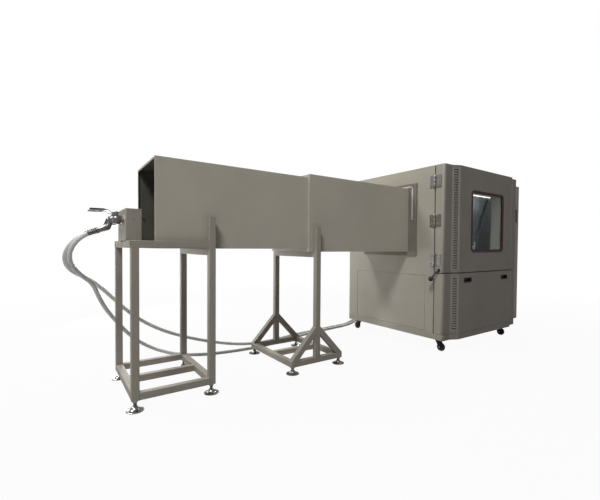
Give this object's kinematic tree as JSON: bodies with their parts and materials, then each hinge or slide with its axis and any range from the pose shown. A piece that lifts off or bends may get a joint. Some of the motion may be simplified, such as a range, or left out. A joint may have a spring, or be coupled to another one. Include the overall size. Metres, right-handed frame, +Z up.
{
  "type": "environmental test chamber",
  "caption": "Water-jet test chamber: cabinet on castors with a windowed, louvred door and a turntable, a sleeved spray tunnel on stands, spray nozzles and supply hoses.",
  "frame": {"origin": "on the floor, under the middle of the object without its hoses", "axes": "+Z up; the door faces -Y; the spray tunnel runs from the cabinet towards -X"},
  "size_m": [4.0729, 1.3478, 1.575],
  "materials": {
    "cabinet_paint": "matt textured powder coat",
    "stand_paint": "matt powder coat on square tube",
    "tunnel_paint": "matt powder coat on sheet",
    "lining_steel": "brushed stainless sheet",
    "hinge_steel": "satin steel",
    "window_glass": "clear toughened glass",
    "lamp_glass": "opal diffuser",
    "window_rubber": "dark moulded rubber",
    "gasket_rubber": "soft silicone",
    "black_paint": "satin black",
    "black_plastic": "moulded black plastic",
    "wheel_rubber": "black rubber tread",
    "foot_chrome": "chrome plated",
    "valve_metal": "nickel plated brass",
    "nozzle_metal": "turned stainless steel",
    "drive_metal": "cast aluminium",
    "pump_iron": "painted casting",
    "tank_plastic": "rotationally moulded plastic",
    "hose_plastic": "light grey braided hose",
    "screen_plastic": "dark glossy screen in a bezel",
    "stop_red": "red moulded plastic"
  },
  "bodies": {
    "chamber": {"base_tray": "cabinet_paint", "left_wall": "cabinet_paint", "side_access_panel": "cabinet_paint", "right_wall": "cabinet_paint", "rear_wall": "cabinet_paint", "top_cover": "cabinet_paint", "chamber_floor": "lining_steel", "inner_lining": "lining_steel", "chamber_lamp": "lamp_glass", "hinge_leaves_fixed": "hinge_steel", "castor_plates": "black_paint", "tunnel_inner": "tunnel_paint", "tunnel_outer": "tunnel_paint", "tunnel_collar": "cabinet_paint", "nozzle_stand": "stand_paint", "tunnel_stand": "stand_paint", "nozzle_housing": "stand_paint", "spray_nozzles": "nozzle_metal", "nozzle_valves": "valve_metal", "turntable_drive": "drive_metal", "water_tank": "tank_plastic", "pump_set": "pump_iron", "hose_outlets": "valve_metal", "water_inlet": "valve_metal", "control_cabinet": "cabinet_paint", "control_screen": "screen_plastic", "hose_large": "hose_plastic", "hose_small": "hose_plastic"},
    "door": {"door_shell": "cabinet_paint", "window_panes": "window_glass", "window_trim": "window_rubber", "door_gasket": "gasket_rubber", "hinge_leaves_door": "hinge_steel", "wiper_drive": "drive_metal"},
    "wiper": {"window_wiper": "black_paint"},
    "lever": {"side_lever": "black_plastic"},
    "latch": {"door_latch": "black_plastic"},
    "lower_panel": {"lower_front_panel": "cabinet_paint", "panel_pulls": "black_plastic"},
    "turntable_body": {"turntable": "lining_steel"},
    "handle_large": {"valve_handle_large": "valve_metal"},
    "handle_small": {"valve_handle_small": "valve_metal"},
    "stop": {"stop_button": "stop_red"},
    "switch": {"main_switch": "black_plastic"},
    "fork_front_left": {"castor_fork_front_left": "black_paint"},
    "wheel_front_left": {"castor_wheel_front_left": "wheel_rubber"},
    "fork_front_right": {"castor_fork_front_right": "black_paint"},
    "wheel_front_right": {"castor_wheel_front_right": "wheel_rubber"},
    "fork_rear_left": {"castor_fork_rear_left": "black_paint"},
    "wheel_rear_left": {"castor_wheel_rear_left": "wheel_rubber"},
    "fork_rear_right": {"castor_fork_rear_right": "black_paint"},
    "wheel_rear_right": {"castor_wheel_rear_right": "wheel_rubber"},
    "nozzle_stand_foot_left_front_body": {"nozzle_stand_foot_left_front": "foot_chrome"},
    "nozzle_stand_foot_left_rear_body": {"nozzle_stand_foot_left_rear": "foot_chrome"},
    "nozzle_stand_foot_right_front_body": {"nozzle_stand_foot_right_front": "foot_chrome"},
    "nozzle_stand_foot_right_rear_body": {"nozzle_stand_foot_right_rear": "foot_chrome"},
    "tunnel_stand_foot_left_front_body": {"tunnel_stand_foot_left_front": "foot_chrome"},
    "tunnel_stand_foot_left_rear_body": {"tunnel_stand_foot_left_rear": "foot_chrome"},
    "tunnel_stand_foot_right_front_body": {"tunnel_stand_foot_right_front": "foot_chrome"},
    "tunnel_stand_foot_right_rear_body": {"tunnel_stand_foot_right_rear": "foot_chrome"}
  },
  "joints": [
    {"name": "door_swing", "type": "hinge", "parent": "chamber", "child": "door", "pos_m": [0.457, -0.505, 1.113], "axis": [0, 0, 1], "range_deg": [-90, 0]},
    {"name": "wiper_swing", "type": "hinge", "parent": "door", "child": "wiper", "pos_m": [1.077, -0.493, 0.926], "axis": [0, 1, 0], "range_deg": [-54, 0]},
    {"name": "side_lever_turn", "type": "hinge", "parent": "door", "child": "lever", "pos_m": [0.455, -0.547, 0.699], "axis": [1, 0, 0], "range_deg": [-90, 0]},
    {"name": "door_latch_turn", "type": "hinge", "parent": "door", "child": "latch", "pos_m": [1.699, -0.547, 1.06], "axis": [1, 0, 0], "range_deg": [-90, 0]},
    {"name": "lower_panel_pull", "type": "slide", "parent": "chamber", "child": "lower_panel", "axis": [0, -1, 0], "range_m": [0, 0.3]},
    {"name": "turntable_spin", "type": "hinge", "parent": "chamber", "child": "turntable_body", "pos_m": [1.077, 0.033, 0.766], "axis": [0, 0, 1], "continuous": true},
    {"name": "castor_swivel_front_left", "type": "hinge", "parent": "chamber", "child": "fork_front_left", "pos_m": [0.571, -0.482, 0.111], "axis": [0, 0, 1], "continuous": true},
    {"name": "castor_roll_front_left", "type": "hinge", "parent": "fork_front_left", "child": "wheel_front_left", "pos_m": [0.571, -0.51, 0.036], "axis": [1, 0, 0], "continuous": true},
    {"name": "castor_swivel_front_right", "type": "hinge", "parent": "chamber", "child": "fork_front_right", "pos_m": [1.583, -0.482, 0.111], "axis": [0, 0, 1], "continuous": true},
    {"name": "castor_roll_front_right", "type": "hinge", "parent": "fork_front_right", "child": "wheel_front_right", "pos_m": [1.583, -0.51, 0.036], "axis": [1, 0, 0], "continuous": true},
    {"name": "castor_swivel_rear_left", "type": "hinge", "parent": "chamber", "child": "fork_rear_left", "pos_m": [0.571, 0.498, 0.111], "axis": [0, 0, 1], "continuous": true},
    {"name": "castor_roll_rear_left", "type": "hinge", "parent": "fork_rear_left", "child": "wheel_rear_left", "pos_m": [0.571, 0.526, 0.036], "axis": [1, 0, 0], "continuous": true},
    {"name": "castor_swivel_rear_right", "type": "hinge", "parent": "chamber", "child": "fork_rear_right", "pos_m": [1.583, 0.498, 0.111], "axis": [0, 0, 1], "continuous": true},
    {"name": "castor_roll_rear_right", "type": "hinge", "parent": "fork_rear_right", "child": "wheel_rear_right", "pos_m": [1.583, 0.526, 0.036], "axis": [1, 0, 0], "continuous": true},
    {"name": "valve_turn_large", "type": "hinge", "parent": "chamber", "child": "handle_large", "pos_m": [-1.841, -0.032, 1.072], "axis": [0, 0, 1], "range_deg": [0, 90]},
    {"name": "valve_turn_small", "type": "hinge", "parent": "chamber", "child": "handle_small", "pos_m": [-1.841, 0.098, 1.072], "axis": [0, 0, 1], "range_deg": [-90, 0]},
    {"name": "nozzle_stand_foot_left_front_height", "type": "slide", "parent": "chamber", "child": "nozzle_stand_foot_left_front_body", "axis": [0, 0, 1], "range_m": [-0.02, 0]},
    {"name": "nozzle_stand_foot_left_rear_height", "type": "slide", "parent": "chamber", "child": "nozzle_stand_foot_left_rear_body", "axis": [0, 0, 1], "range_m": [-0.02, 0]},
    {"name": "nozzle_stand_foot_right_front_height", "type": "slide", "parent": "chamber", "child": "nozzle_stand_foot_right_front_body", "axis": [0, 0, 1], "range_m": [-0.02, 0]},
    {"name": "nozzle_stand_foot_right_rear_height", "type": "slide", "parent": "chamber", "child": "nozzle_stand_foot_right_rear_body", "axis": [0, 0, 1], "range_m": [-0.02, 0]},
    {"name": "tunnel_stand_foot_left_front_height", "type": "slide", "parent": "chamber", "child": "tunnel_stand_foot_left_front_body", "axis": [0, 0, 1], "range_m": [-0.02, 0]},
    {"name": "tunnel_stand_foot_left_rear_height", "type": "slide", "parent": "chamber", "child": "tunnel_stand_foot_left_rear_body", "axis": [0, 0, 1], "range_m": [-0.02, 0]},
    {"name": "tunnel_stand_foot_right_front_height", "type": "slide", "parent": "chamber", "child": "tunnel_stand_foot_right_front_body", "axis": [0, 0, 1], "range_m": [-0.02, 0]},
    {"name": "tunnel_stand_foot_right_rear_height", "type": "slide", "parent": "chamber", "child": "tunnel_stand_foot_right_rear_body", "axis": [0, 0, 1], "range_m": [-0.02, 0]},
    {"name": "stop_button_press", "type": "slide", "parent": "chamber", "child": "stop", "axis": [0, 1, 0], "range_m": [0, 0.006], "stiffness_N_per_m": 800},
    {"name": "main_switch_turn", "type": "hinge", "parent": "chamber", "child": "switch", "pos_m": [1.832, -0.485, 0.96], "axis": [0, 1, 0], "range_deg": [0, 90]}
  ]
}
